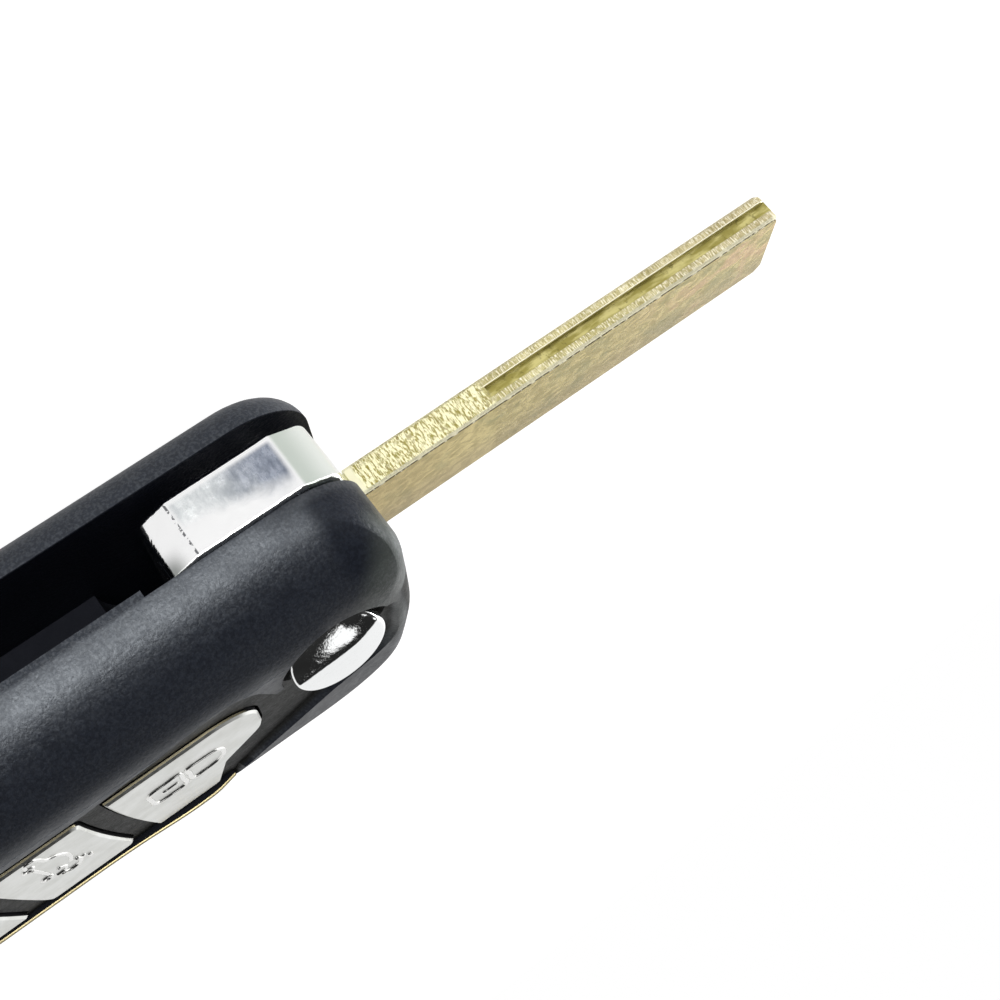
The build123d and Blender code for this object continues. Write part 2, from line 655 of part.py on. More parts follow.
def flip_spring():
    """Coil spring with two legs: it throws the blade out and pushes the button back up."""
    low = HUB_LOW + HUB_WELL_FLOOR + SPRING_WIRE
    high = FLANGE_LOW - SPRING_WIRE
    pitch = (high - low) / SPRING_TURNS
    path = Pos(0, 0, low) * Helix(pitch, high - low, SPRING_RADIUS)
    section = Plane(origin=path @ 0, z_dir=path % 0) * RegularPolygon(SPRING_WIRE / 2, 6)
    coil = sweep(section, path)
    leg = Cylinder(SPRING_WIRE / 2 * 0.9, SPRING_LEG, align=(Align.CENTER, Align.CENTER, Align.MIN))
    bottom = Pos(SPRING_RADIUS, 0, low) * Rot(0, 90, 0) * leg
    top = Pos(0, -SPRING_RADIUS, high) * Rot(90, 0, 0) * leg
    return coil + bottom + top


def release_button():
    """Round plated button with its shaft, flange and two guide lugs."""
    cap = disc(0, 0, RELEASE_RADIUS, FLANGE_TOP, RELEASE_TOP)
    cap = cap & Pos(0, 0, RELEASE_TOP - RELEASE_CROWN) * Sphere(RELEASE_CROWN)
    side = cap.faces().filter_by(GeomType.CYLINDER)[0]
    cap = fillet(side.edges().filter_by(GeomType.CIRCLE).sort_by(Axis.Z)[-1], RELEASE_ROUND)
    button = cap + disc(0, 0, FLANGE_RADIUS, FLANGE_LOW, FLANGE_TOP)
    reach = FLANGE_RADIUS + LUG_REACH
    button += block(-reach, reach, -LUG_WIDTH / 2, LUG_WIDTH / 2, FLANGE_LOW, FLANGE_TOP)
    return button + disc(0, 0, SHAFT_RADIUS, SHAFT_FOOT, FLANGE_LOW)


def key_button(face):
    """Plated keypad button with a retaining flange below the panel."""
    above = block(-FAR_AWAY, FAR_AWAY, -FAR_AWAY, FAR_AWAY, KEY_RISE, FAR_AWAY)
    button = plate(face, KEY_FLANGE_TOP, 2 * THICKNESS) - on_keypad(above)
    button = chamfer(button.faces().sort_by(Axis.Z)[-1].edges(), KEY_CHAMFER)
    return button + plate(offset(face, KEY_FLANGE), KEY_LOW, KEY_FLANGE_TOP)


def dome_places():
    """Centres of the three rubber domes, under the middle of each button."""
    shift = KEY_SLANT / 2
    starts = [(LOCK_START + LOCK_END) / 2, (LIGHT_START + LIGHT_END) / 2, (UNLOCK_START + UNLOCK_END) / 2]
    return [(-x + shift, KEY_MIDDLE_Y) for x in starts]


def post_places():
    """Posts under the front wall that hold the tray, clear of the buttons."""
    nose = -LOCK_START - POST_SHIFT
    tail = -UNLOCK_END + 2 * POST_RADIUS
    return [(nose, -POST_FAR), (nose - MEMBRANE_MARGIN, POST_NEAR), (tail, -POST_FAR), (tail, POST_NEAR)]


def keypad_membrane():
    """Rubber sheet with a dome under each button."""
    near = -KEYPAD_SLOT_EDGE + KEY_FLANGE
    far = -KEYPAD_FAR_EDGE + KEY_FLANGE
    nose = -LOCK_START - MEMBRANE_MARGIN
    tail = -UNLOCK_END + MEMBRANE_MARGIN
    corner = MEMBRANE_MARGIN / 2
    face = outline([(tail, near, corner), (nose, near, corner), (nose, far, corner), (tail, far, corner)])
    sheet = plate(face, MEMBRANE_LOW, MEMBRANE_TOP)
    for x, y in dome_places():
        cone = Cone(DOME_RADIUS + 0.6, DOME_RADIUS, DOME_HEIGHT, align=(Align.CENTER, Align.CENTER, Align.MIN))
        sheet += Pos(x, y, MEMBRANE_TOP) * cone
    return sheet


def board_tray():
    """Open plastic frame that carries the rubber sheet and the owner's circuit board."""
    far = -KEYPAD_FAR_EDGE + KEY_FLANGE
    nose = -LOCK_START - POST_SHIFT + POST_RADIUS
    tail = -UNLOCK_END
    tray = block(tail, nose, far, TRAY_NEAR, TRAY_LOW, MEMBRANE_LOW)
    tray = fillet(tray.edges().filter_by(Axis.Z), POST_RADIUS)
    middle = (tail + nose) / 2
    length = (nose - tail) / 2 - 1.5 * TRAY_RIM
    for side in (-1, 1):
        x = middle + side * (length / 2 + TRAY_RIM / 2)
        tray -= block(x - length / 2, x + length / 2, far + TRAY_RIM, -TRAY_RIM / 2, TRAY_LOW, MEMBRANE_LOW)
    return tray - disc(0, 0, TOWER_RADIUS + SIDE_GAP, TRAY_LOW, MEMBRANE_LOW)


def battery_clip_negative():
    """Flat contact under the cell with a raised tongue."""
    half = CLIP_WIDTH / 2
    strip = block(-BATTERY_X - BATTERY_RADIUS - 1.0, -BATTERY_X + 2.0, -BATTERY_Y - half, -BATTERY_Y + half,
                  REAR_FLOOR, REAR_FLOOR + CLIP_THICKNESS)
    post = -BATTERY_X - BATTERY_RADIUS - 1.0
    strip += block(post, post + CLIP_THICKNESS, -BATTERY_Y - half, -BATTERY_Y + half,
                   REAR_FLOOR, REAR_FLOOR + BATTERY_RIB_HEIGHT)
    return strip


def battery_clip_positive():
    """Upright contact against the cell's rim."""
    half = CLIP_WIDTH / 2
    side = -BATTERY_X + BATTERY_RADIUS + SIDE_GAP
    high = REAR_FLOOR + BATTERY_RIB_HEIGHT
    strip = block(side, side + CLIP_THICKNESS, -BATTERY_Y - half, -BATTERY_Y + half, REAR_FLOOR, high)
    strip += block(side, side + 2.5, -BATTERY_Y - half, -BATTERY_Y + half, REAR_FLOOR, REAR_FLOOR + CLIP_THICKNESS)
    return strip


def shell_screw(x, y):
    """Small pan-head screw with a cross recess, put in from the back."""
    head = disc(x, y, SCREW_HEAD_RADIUS, SCREW_SEAT - SCREW_HEAD_HEIGHT, SCREW_SEAT)
    head = chamfer(head.edges().group_by(Axis.Z)[0], 0.3)
    screw = head + disc(x, y, SCREW_RADIUS, SCREW_SEAT, SCREW_SEAT + SCREW_LENGTH)
    arm = SCREW_HEAD_RADIUS * 0.6
    screw -= block(x - arm, x + arm, y - 0.2, y + 0.2, 0, 0.8)
    return screw - block(x - 0.2, x + 0.2, y - arm, y + arm, 0, 0.8)


def keyring_pin():
    """Steel pin across the open corner that the key ring goes round."""
    pin = disc(-RING_PIN_X, -RING_PIN_Y, RING_PIN_RADIUS, RING_PIN_FOOT, RING_PIN_TOP)
    return chamfer(pin.edges().filter_by(GeomType.CIRCLE), 0.2)


def save(shape, name):
    """Move a piece to the final origin and write it."""
    placed = Pos(-BOX_MIDDLE_X, -BOX_MIDDLE_Y, 0) * shape
    export_step(placed, f"parts/{name}.step")


def main():
    os.makedirs("parts", exist_ok=True)
    outer = outer_form()
    inner = inner_form()
    lock, light, unlock = key_faces()
    save(front_shell(outer, inner), "front_shell")
    save(rear_shell(outer), "rear_shell")
    save(blade_frame(inner), "blade_frame")
    save(key_blade(), "key_blade")
    save(blade_hub(), "blade_hub")
    save(blade_roll_pin(), "blade_roll_pin")
    save(pivot_bush(), "pivot_bush")
    save(thrust_washer(), "thrust_washer")
    save(flip_spring(), "flip_spring")
    save(release_button(), "release_button")
    save(key_button(lock), "lock_button")
    save(key_button(light), "light_button")
    save(key_button(unlock), "unlock_button")
    save(keypad_membrane(), "keypad_membrane")
    save(board_tray(), "board_tray")
    save(trim_strip(), "trim_strip")
    save(battery_clip_negative(), "battery_clip_negative")
    save(battery_clip_positive(), "battery_clip_positive")
    nose_screw, tail_screw = screw_places()
    save(shell_screw(*nose_screw), "shell_screw_nose")
    save(shell_screw(*tail_screw), "shell_screw_tail")
    save(keyring_pin(), "keyring_pin")


main()
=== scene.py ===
import json
import math

import bmesh
import bpy
from mathutils import Matrix, Vector


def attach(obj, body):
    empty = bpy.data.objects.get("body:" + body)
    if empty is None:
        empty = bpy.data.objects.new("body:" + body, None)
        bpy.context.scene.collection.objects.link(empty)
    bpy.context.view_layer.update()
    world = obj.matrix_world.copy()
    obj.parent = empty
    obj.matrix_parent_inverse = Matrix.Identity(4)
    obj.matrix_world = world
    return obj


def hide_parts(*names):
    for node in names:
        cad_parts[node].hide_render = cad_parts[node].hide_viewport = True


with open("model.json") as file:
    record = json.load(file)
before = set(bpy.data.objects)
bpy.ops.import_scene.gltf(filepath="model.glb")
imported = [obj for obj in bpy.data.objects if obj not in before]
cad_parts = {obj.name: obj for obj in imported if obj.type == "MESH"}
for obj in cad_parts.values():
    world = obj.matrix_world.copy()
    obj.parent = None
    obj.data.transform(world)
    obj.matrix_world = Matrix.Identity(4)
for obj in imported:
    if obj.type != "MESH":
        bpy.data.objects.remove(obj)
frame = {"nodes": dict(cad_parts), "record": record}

# Looks of the flip key remote shell. Blender lengths are in metres; MM turns millimetres into them.
# Places on the key are given in millimetres from the flip axis, which stands at PIVOT in the frame.

MM = 0.001
PIVOT = (6.15, 6.25)

# Keypad recess: the height of its floor at the flip axis, the floor's slope and the recess's near edge,
# then how far the buttons' tops rise above the floor and the size of their chamfer
PANEL = 17.42
PANEL_TILT = math.radians(4)
RECESS_EDGE = 2.0
KEY_RISE = 0.45
KEY_CHAMFER = 0.2

# Floor of the blade slot
SLOT_FLOOR = 3.1

# Painted reflection on the nose of the shell, in lighter grey: all that lies past the line where x is the
# slant below times y less the shift below
REFLECTION_SLANT = 0.86
REFLECTION_SHIFT = 2.36

# Radius of the nose's corner, which is rounded in shading alone, and the samples that this takes
NOSE_ROUND = 4.2
ROUND_SAMPLES = 12

# Trim beside the keypad: its line, the end near the nose and its length, then its height above the
# floor, how much it rises from its end on, and the swell beside the first button
TRIM_LINE = -21.5
TRIM_START = -11.5
TRIM_LENGTH = 34.5
TRIM_STATIONS = 60
TRIM_BASE = 0.5
TRIM_LIFT = 0.12
TRIM_TAPER = 2.5
TRIM_SWELL = 0.33
TRIM_SWELL_PLACE = -15.5
TRIM_SWELL_REACH = 5

# Rounded upper edges of a rail: how far in from its side and how far below its top each corner lies
RAIL_EDGE = ((0, 0.08), (0.03, 0.02), (0.08, 0))

# Release button: shaft and flange as in the solid, cap by the photograph
SHAFT_RADIUS = 1.8
SHAFT_FOOT = 4.2
FLANGE_LOW = 13.7
FLANGE_TOP = 14.7
FLANGE_RADIUS = 5.6
LUG_INNER = 5.0
LUG_OUTER = 6.4
LUG_WIDTH = 2.0
CAP_RADIUS = 4.2
CAP_ROUND = 0.3
CAP_FOOT = 15.4
CAP_TOP = 19.5
CAP_TURNS = 96
CAP_ROUND_STEPS = 6
CAP_TOP_STEPS = 24

# The cap's crease: its place across the flip axis, its slant and its bend near the nose
CREASE = 0.35
CREASE_SLANT = 0.08
CREASE_BEND = 0.35

# The cap's far half and its thumb facet: slope, hollow and how round each is from side to side
FAR_SLOPE = 0.13
FAR_HOLLOW = 0.01
FAR_CROWN = 0.008
THUMB_SLOPE = 0.30
THUMB_HOLLOW = 0.10
THUMB_CROWN = 0.022

# Hub: the near face, the edge of its bevel and the start of its facet
HUB_FACE = 10.5
HUB_BEVEL = -5.1
HUB_FACET = 4.0

# Blade: the lines of its narrow faces, the heights of its wide ones, the end of the pale collar by the
# hub, and the groove's start and heights
BLADE_NEAR = -1.2
BLADE_FAR = -10.2
BLADE_LOW = 5.5
BLADE_HIGH = 8.5
COLLAR_END = 10.2
GROOVE_START = 23.1
GROOVE_LOW = 6.45
GROOVE_HIGH = 7.55

# Edges of the release cap and the trim that turn by more than this stay crisp
CRISP = math.radians(38)

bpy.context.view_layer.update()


def srgb(red, green, blue):
    """Linear colour from 0-255 display values."""
    def linear(value):
        value /= 255
        return value / 12.92 if value <= 0.04045 else ((value + 0.055) / 1.055) ** 2.4
    return (linear(red), linear(green), linear(blue), 1)


# Black plastic, as it is, with a painted reflection in lighter grey at the nose, an olive tone in the keypad
# recess, and painted shade darkening the slot's floor
PLASTIC = ((0.012, 0.014, 0.020, 1), (0.016, 0.019, 0.027, 1))
PLASTIC_REFLECTION = ((0.042, 0.049, 0.046, 1), (0.068, 0.074, 0.069, 1))
PLASTIC_RECESS = (0.014, 0.014, 0.012, 1)
PLASTIC_SLOT_SHADE = (0.006, 0.007, 0.011, 1)
PLASTIC_SHEEN = (0.88, 0.94, 1.0, 1)

# Brass, dark and light of each kind of surface, then its stains, the painted highlights along the groove's
# lip and the upper edge, and a dark line beside that edge
CAST = (srgb(150, 140, 72), srgb(248, 243, 204))
CAST_SPECK = srgb(140, 128, 78)
COLLAR = srgb(246, 242, 208)
LAND = (srgb(180, 170, 116), srgb(210, 200, 148))
LAND_TIP = srgb(190, 176, 138)
LAND_TICKS = (srgb(132, 122, 84), srgb(250, 245, 222))
MILLED = (srgb(160, 150, 82), srgb(212, 202, 136))
MILLED_SPECK = srgb(120, 112, 64)
FLAT = (srgb(164, 148, 84), srgb(202, 184, 116))
FLAT_GREEN = srgb(136, 132, 74)
FLAT_PINK = srgb(208, 162, 130)
FLAT_ROOT = srgb(158, 132, 76)
FLAT_FAR = srgb(150, 132, 92)
GROOVE_LIP_HIGHLIGHT = srgb(255, 250, 224)
EDGE_HIGHLIGHT = srgb(255, 250, 222)
EDGE_DARK_LINE = srgb(90, 78, 44)

# Hub plating: clear, and the painted reflection of shade low on its near face, dark and light, each for the
# tail end and the nose end
CLEAR = (1, 1, 1, 1)
REFLECTED_SHADE_DARK = (srgb(208, 212, 214), srgb(116, 124, 138))
REFLECTED_SHADE_LIGHT = (srgb(236, 239, 239), srgb(164, 170, 183))
# Painted shading of the hub's facet, from a darker edge to a painted highlight
FACET_SHADING = (srgb(206, 214, 206), srgb(250, 253, 248))
# Painted shade on the hub's rounded heel past the bevel
HEEL_SHADE = srgb(92, 98, 92)
PIT = srgb(40, 42, 52)


class Nodes:
    """Short calls for building one material's nodes. Noise scales are in waves per millimetre."""

    def __init__(self, name, colour, metallic, roughness):
        self.material = bpy.data.materials.new(name)
        self.material.use_nodes = True
        self.tree = self.material.node_tree
        self.shader = self.tree.nodes["Principled BSDF"]
        self.shader.inputs["Base Color"].default_value = colour
        self.shader.inputs["Metallic"].default_value = metallic
        self.shader.inputs["Roughness"].default_value = roughness
        place = self.new("ShaderNodeVectorMath", operation="MULTIPLY_ADD")
        self.put(self.new("ShaderNodeTexCoord").outputs["Object"], place.inputs[0])
        place.inputs[1].default_value = (1 / MM, 1 / MM, 1 / MM)
        place.inputs[2].default_value = (-PIVOT[0], -PIVOT[1], 0)
        self.place = place.outputs["Vector"]
        parts = self.new("ShaderNodeSeparateXYZ")
        self.put(self.place, parts.inputs[0])
        self.x, self.y, self.z = parts.outputs

    def new(self, kind, **values):
        node = self.tree.nodes.new(kind)
        for key, value in values.items():
            setattr(node, key, value)
        return node

    def put(self, value, socket):
        """Link an output, or write a plain value."""
        if isinstance(value, bpy.types.NodeSocket):
            self.tree.links.new(value, socket)
        else:
            socket.default_value = value

    def stretch(self, *scale):
        """Places scaled along each axis, so that a pattern grows longer where the scale is small."""
        node = self.new("ShaderNodeMapping")
        self.put(self.place, node.inputs["Vector"])
        node.inputs["Scale"].default_value = scale
        return node.outputs["Vector"]

    def noise(self, scale, detail=3.0, rough=0.5, vector=None, distortion=0.0):
        node = self.new("ShaderNodeTexNoise")
        self.put(vector or self.place, node.inputs["Vector"])
        node.inputs["Scale"].default_value = scale
        node.inputs["Detail"].default_value = detail
        node.inputs["Roughness"].default_value = rough
        node.inputs["Distortion"].default_value = distortion
        return node.outputs["Fac"]

    def calculate(self, operation, *values):
        node = self.new("ShaderNodeMath", operation=operation)
        for value, socket in zip(values, node.inputs):
            self.put(value, socket)
        return node.outputs[0]

    def add(self, *values):
        total = values[0]
        for value in values[1:]:
            total = self.calculate("ADD", total, value)
        return total

    def times(self, *values):
        total = values[0]
        for value in values[1:]:
            total = self.calculate("MULTIPLY", total, value)
        return total

    def larger(self, first, second):
        return self.calculate("MAXIMUM", first, second)

    def outside(self, mask):
        """One where the mask is zero."""
        return self.calculate("SUBTRACT", 1.0, mask)

    def remap(self, value, low, high, to_low=0.0, to_high=1.0):
        """Smooth step from one range to another."""
        node = self.new("ShaderNodeMapRange", interpolation_type="SMOOTHSTEP")
        for key, item in (("Value", value), ("From Min", low), ("From Max", high),
                          ("To Min", to_low), ("To Max", to_high)):
            self.put(item, node.inputs[key])
        return node.outputs["Result"]

    def fade(self, mask, share):
        """One outside the mask, and a share of it inside."""
        return self.remap(mask, 0.0, 1.0, 1.0, share)

    def band(self, value, low, high, soft):
        """One between two values, zero outside them."""
        up = self.remap(value, low - soft, low + soft)
        down = self.remap(value, high - soft, high + soft, 1.0, 0.0)
        return self.times(up, down)

    def mix(self, factor, first, second, kind="RGBA"):
        node = self.new("ShaderNodeMix", data_type=kind)
        self.put(factor, node.inputs["Factor"])
        self.put(first, node.inputs["A"])
        self.put(second, node.inputs["B"])
        return node.outputs["Result"]

    def above_panel(self):
        """Height above the sloping floor of the keypad recess."""
        return self.add(self.z, self.times(self.y, -math.tan(PANEL_TILT)), -PANEL)

    def side(self, axis):
        """How far the surface faces along one axis."""
        parts = self.new("ShaderNodeSeparateXYZ")
        self.put(self.new("ShaderNodeTexCoord").outputs["Normal"], parts.inputs[0])
        return parts.outputs[axis]

    def soft_corner(self, radius, where):
        """Surface direction with its corners rounded by a radius in millimetres, where the mask is one."""
        corner = self.new("ShaderNodeBevel", samples=ROUND_SAMPLES)
        corner.inputs["Radius"].default_value = radius * MM
        plain = self.new("ShaderNodeNewGeometry").outputs["Normal"]
        return self.mix(where, plain, corner.outputs["Normal"], "VECTOR")

    def bump(self, height, distance, before=None):
        """Bump of a height field, in which a height of one stands for a distance in millimetres."""
        node = self.new("ShaderNodeBump")
        self.put(height, node.inputs["Height"])
        self.put(1.0, node.inputs["Strength"])
        node.inputs["Distance"].default_value = distance * MM
        if before:
            self.put(before, node.inputs["Normal"])
        return node.outputs["Normal"]

    def set(self, **sockets):
        for name, value in sockets.items():
            self.put(value, self.shader.inputs[name.replace("_", " ")])
        return self.material


# Black plastic: zones that are one inside and zero outside, and how much it shines

def recess_zone(n):
    """The keypad recess's floor and the foot of its wall."""
    near_floor = n.remap(n.above_panel(), 0.05, 0.55, 1.0, 0.0)
    inside = n.remap(n.y, RECESS_EDGE + 0.4, RECESS_EDGE - 0.4)
    return n.times(near_floor, inside, n.remap(n.z, 13.5, 14.5))


def nose_reflection_zone(n, recess):
    """The nose around the release button, from a slanting line on, where a painted reflection makes the
    moulding lighter grey.
    """
    past_line = n.add(n.x, n.times(n.y, -REFLECTION_SLANT), REFLECTION_SHIFT)
    return n.times(n.remap(past_line, -1.2, 1.8), n.remap(n.z, 12.5, 14.5),
                   n.remap(n.y, -14.0, -4.0), n.outside(recess))


def shoulder_shine(n, speckle):
    """Speckled shine, weaker on the crown, with a rubbed rim beside the slot and a brow by the recess."""
    crown = n.remap(n.side("Z"), 0.45, 0.80, 1.0, 0.55)
    rubbed = n.times(n.remap(n.side("Y"), 0.86, 0.99), n.remap(n.z, 10.0, 10.6), 0.7)
    brow = n.times(n.remap(n.y, 7.0, 3.5), n.remap(n.y, -1.0, 1.5), n.remap(n.x, -4.5, -6.5), 0.45)
    return n.add(n.times(speckle, crown), rubbed, brow)


def cheek_zone(n):
    """The nose's corner above the blade exit, which shines little."""
    return n.times(n.remap(n.x, 1.5, 4.0), n.remap(n.y, 6.8, 8.6), n.remap(n.z, 10.0, 11.5))


def nose_zone(n):
    """The nose's upright corner and the upper edge of its end, which are rounded in shading."""
    corner = n.times(n.remap(n.x, -1.5, 2.0), n.remap(n.y, 3.0, 6.0), n.remap(n.z, 8.5, 10.5))
    return n.larger(corner, n.times(n.remap(n.x, 4.8, 5.8), n.remap(n.z, 12.0, 13.5)))


def black_plastic():
    """Moulded black plastic: a leathery spark texture that shows where light grazes it."""
    n = Nodes("black_plastic", (0.014, 0.016, 0.020, 1), 0.0, 0.5)
    leather = n.noise(3.0, 2.0, 0.55, distortion=0.3)
    grain = n.noise(8.0, 2.0, 0.6)
    patch = n.noise(0.6, 2.0, 0.5)
    speckle = n.remap(n.noise(4.2, 2.0, 0.6), 0.42, 0.64, 0.40, 0.78)
    dip = n.remap(leather, 0.40, 0.62)
    recess = recess_zone(n)
    slot_shade = n.band(n.z, SLOT_FLOOR - 0.08, SLOT_FLOOR + 0.08, 0.02)

    tone = n.add(n.times(dip, 0.5), n.times(grain, 0.5))
    colour = n.mix(n.remap(tone, 0.25, 0.75), *PLASTIC)
    colour = n.mix(recess, colour, PLASTIC_RECESS)
    # Painted reflection: the nose past a slanting line is painted lighter grey
    colour = n.mix(nose_reflection_zone(n, recess), colour, n.mix(grain, *PLASTIC_REFLECTION))
    # Painted shade: the slot's floor is painted darker
    colour = n.mix(slot_shade, colour, PLASTIC_SLOT_SHADE)

    rough = n.add(n.remap(patch, 0.35, 0.65, 0.40, 0.46), n.times(dip, 0.06), n.times(recess, 0.1))
    shine = n.times(shoulder_shine(n, speckle), n.fade(recess, 0.45), n.fade(slot_shade, 0.15),
                    n.fade(cheek_zone(n), 0.2))
    texture = n.add(leather, n.times(grain, 0.35))
    return n.set(Base_Color=colour, Roughness=rough, Specular_IOR_Level=shine, Specular_Tint=PLASTIC_SHEEN,
                 Normal=n.bump(texture, 0.035, n.soft_corner(NOSE_ROUND, nose_zone(n))))


def inner_plastic():
    """Plain black moulding inside the slot."""
    n = Nodes("inner_plastic", (0.003, 0.003, 0.005, 1), 0.0, 0.7)
    cloud = n.noise(0.9, 3.0)
    colour = n.mix(cloud, (0.005, 0.006, 0.010, 1), (0.010, 0.011, 0.016, 1))
    return n.set(Base_Color=colour, Normal=n.bump(n.noise(3), 0.01), Specular_IOR_Level=0.12)


def cast_colour(n, ridges, specks, collar):
    """The blade's root as cast: rough ridges with dark specks, and a pale collar by the hub."""
    colour = n.mix(n.remap(ridges, 0.40, 0.58), *CAST)
    colour = n.mix(n.remap(specks, 0.56, 0.64, 0.0, 0.75), colour, CAST_SPECK)
    return n.mix(collar, colour, COLLAR)


def land_colour(n, ticks):
    """The lands beside the groove: stained, greyer towards the tip, ticked across by the mill."""
    stain = n.noise(0.5, 3.0, 0.6, n.stretch(0.6, 1.0, 1.0))
    towards_tip = n.remap(n.x, 34, 52)
    dark_tick, light_tick = LAND_TICKS
    colour = n.mix(n.remap(stain, 0.40, 0.62), *LAND)
    colour = n.mix(n.times(towards_tip, 0.7), colour, LAND_TIP)
    colour = n.mix(n.remap(ticks, 0.46, 0.38, 0.0, 0.6), colour, dark_tick)
    return n.mix(n.remap(ticks, 0.50, 0.60, 0.0, 0.85), colour, light_tick)


def milled_colour(n, specks):
    """The groove's floor and walls, dragged lengthwise."""
    drag = n.noise(1.6, 4.0, 0.65, n.stretch(0.22, 1.0, 1.0))
    colour = n.mix(n.remap(drag, 0.38, 0.62), *MILLED)
    return n.mix(n.remap(specks, 0.57, 0.66, 0.0, 0.6), colour, MILLED_SPECK)


def flat_colour(n, fibre):
    """The wide faces: fibrous stains, greenish clouds, pink near the tip, browner at root and far edge."""
    cloud = n.noise(0.28, 3.0, 0.6)
    pink = n.times(n.remap(n.x, 36, 48), n.remap(cloud, 0.52, 0.38, 0.0, 0.45))
    colour = n.mix(n.remap(fibre, 0.36, 0.64), *FLAT)
    colour = n.mix(n.remap(cloud, 0.48, 0.66, 0.0, 0.6), colour, FLAT_GREEN)
    colour = n.mix(pink, colour, FLAT_PINK)
    colour = n.mix(n.remap(n.x, 24, 10, 0.0, 0.4), colour, FLAT_ROOT)
    return n.mix(n.remap(n.y, BLADE_NEAR - 4.0, BLADE_FAR + 1.0, 0.0, 0.45), colour, FLAT_FAR)


def brass():
    """Uncut brass blade: cast root, milled groove between ticked lands, stained wide faces."""
    n = Nodes("brass", srgb(205, 190, 140), 1.0, 0.3)
    ridges = n.noise(8.0, 3.0, 0.65, n.stretch(1.0, 1.0, 0.26), 0.4)
    specks = n.noise(1.9, 3.0, 0.7, n.stretch(1.0, 1.0, 0.6))
    ticks = n.noise(7.5, 3.0, 0.7, n.stretch(1.0, 1.0, 0.17))
    fibre = n.noise(1.3, 6.0, 0.75, n.stretch(0.6, 1.0, 1.0), 0.5)

    # Faces that look up or down are the blade's wide faces and the groove's walls
    level = n.remap(n.calculate("ABSOLUTE", n.side("Z")), 0.80, 0.95)
    wall = n.times(level, n.band(n.z, BLADE_LOW + 0.5, BLADE_HIGH - 0.5, 0.02))
    wide = n.calculate("SUBTRACT", level, wall)
    edge = n.times(n.remap(n.side("Z"), 0.30, 0.50), n.outside(level))
    cut = n.remap(n.add(n.x, n.noise(1.2)), GROOVE_START, GROOVE_START + 0.9)
    groove = n.times(cut, n.band(n.z, GROOVE_LOW - 0.03, GROOVE_HIGH + 0.03, 0.02))
    lip_highlight = n.times(cut, n.band(n.z, GROOVE_LOW - 0.12, GROOVE_LOW - 0.02, 0.02))
    collar = n.remap(n.add(n.x, n.times(specks, 0.4)), COLLAR_END, COLLAR_END - 0.3)
    # Painted highlight on the chamfer along the blade's upper edge
    bright = n.times(edge, n.remap(n.z, BLADE_HIGH - 0.16, BLADE_HIGH - 0.10, 0.6, 1.0))
    edge_dark_line = n.times(n.remap(n.z, BLADE_HIGH - 0.08, BLADE_HIGH - 0.06), n.remap(specks, 0.38, 0.50))

    colour = n.mix(cut, cast_colour(n, ridges, specks, collar), land_colour(n, ticks))
    colour = n.mix(groove, colour, milled_colour(n, specks))
    # Painted highlight: a pale line along the groove's low edge
    colour = n.mix(lip_highlight, colour, GROOVE_LIP_HIGHLIGHT)
    # Painted highlight: the upper edge's chamfer painted nearly white
    colour = n.mix(bright, colour, EDGE_HIGHLIGHT)
    # A broken dark line at the top of the narrow face, beside the painted edge highlight
    colour = n.mix(edge_dark_line, colour, EDGE_DARK_LINE)
    colour = n.mix(wide, colour, flat_colour(n, fibre))

    narrow = n.outside(wide)
    rough = n.add(n.remap(fibre, 0.3, 0.7, 0.34, 0.22), n.times(narrow, 0.06), n.times(edge, 0.4))
    height = n.add(n.times(n.outside(cut), narrow, n.outside(collar), ridges, 3.0),
                   n.times(cut, n.outside(groove), ticks, 1.6), n.times(fibre, 0.3))
    return n.set(Base_Color=colour, Metallic=n.fade(n.larger(edge, wall), 0.35), Roughness=rough,
                 Normal=n.bump(height, 0.03))


